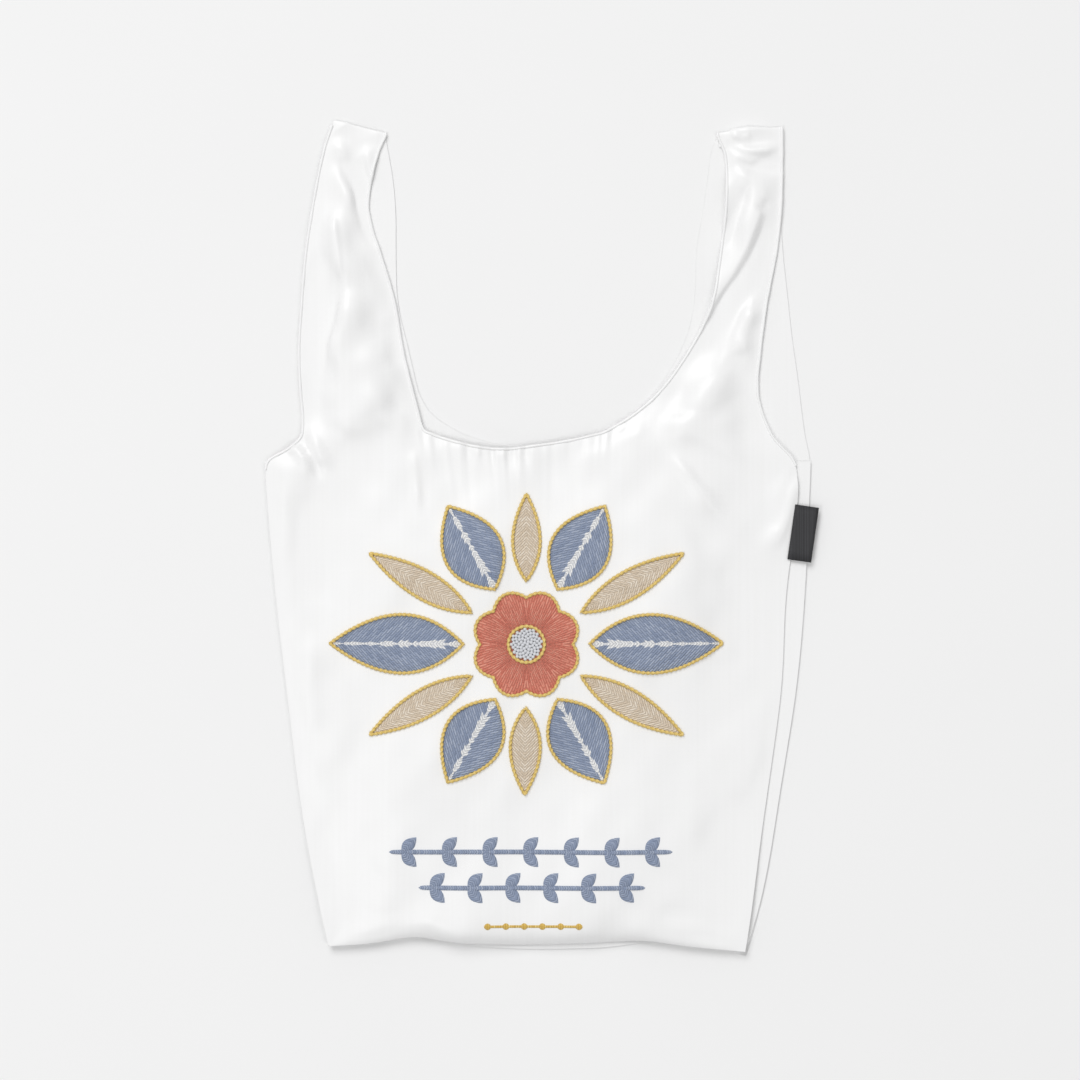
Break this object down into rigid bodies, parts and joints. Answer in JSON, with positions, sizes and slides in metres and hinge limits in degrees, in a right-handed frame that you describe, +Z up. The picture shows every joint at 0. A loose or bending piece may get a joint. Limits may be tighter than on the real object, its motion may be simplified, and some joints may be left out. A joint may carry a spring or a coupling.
{
  "type": "organza bag",
  "caption": "Flat-lying organza shopping bag with a low neckline, two handle loops, folded side bands and an embroidered front.",
  "frame": {"origin": "on the surface that the bag lies on, under the middle of its bounding box", "axes": "+Y from the bottom seam towards the handles, +X to the right seen from the front, +Z up out of the embroidered front"},
  "size_m": [0.37, 0.5586, 0.0148],
  "materials": {
    "organza": "white organza with a satin sheen",
    "organza_hem": "narrow folded hem of the same organza",
    "label": "black woven label",
    "thread_red": "brick red embroidery fill",
    "thread_white": "white embroidery fill",
    "thread_blue": "slate-blue embroidery fill",
    "thread_beige": "beige embroidery fill",
    "thread_gold": "gold satin thread"
  },
  "bodies": {
    "root": {"front_panel": "organza", "back_panel": "organza", "gusset_left": "organza", "gusset_right": "organza", "neck_hem": "organza_hem", "armhole_hem_left": "organza_hem", "armhole_hem_right": "organza_hem", "side_label": "label", "bloom": "thread_red", "bloom_heart": "thread_white", "leaf_blue_1": "thread_blue", "leaf_blue_2": "thread_blue", "leaf_blue_3": "thread_blue", "leaf_blue_4": "thread_blue", "leaf_blue_5": "thread_blue", "leaf_blue_6": "thread_blue", "leaf_beige_1": "thread_beige", "leaf_beige_2": "thread_beige", "leaf_beige_3": "thread_beige", "leaf_beige_4": "thread_beige", "leaf_beige_5": "thread_beige", "leaf_beige_6": "thread_beige", "vine_upper": "thread_blue", "vine_lower": "thread_blue", "gold_row": "thread_gold"}
  },
  "joints": []
}
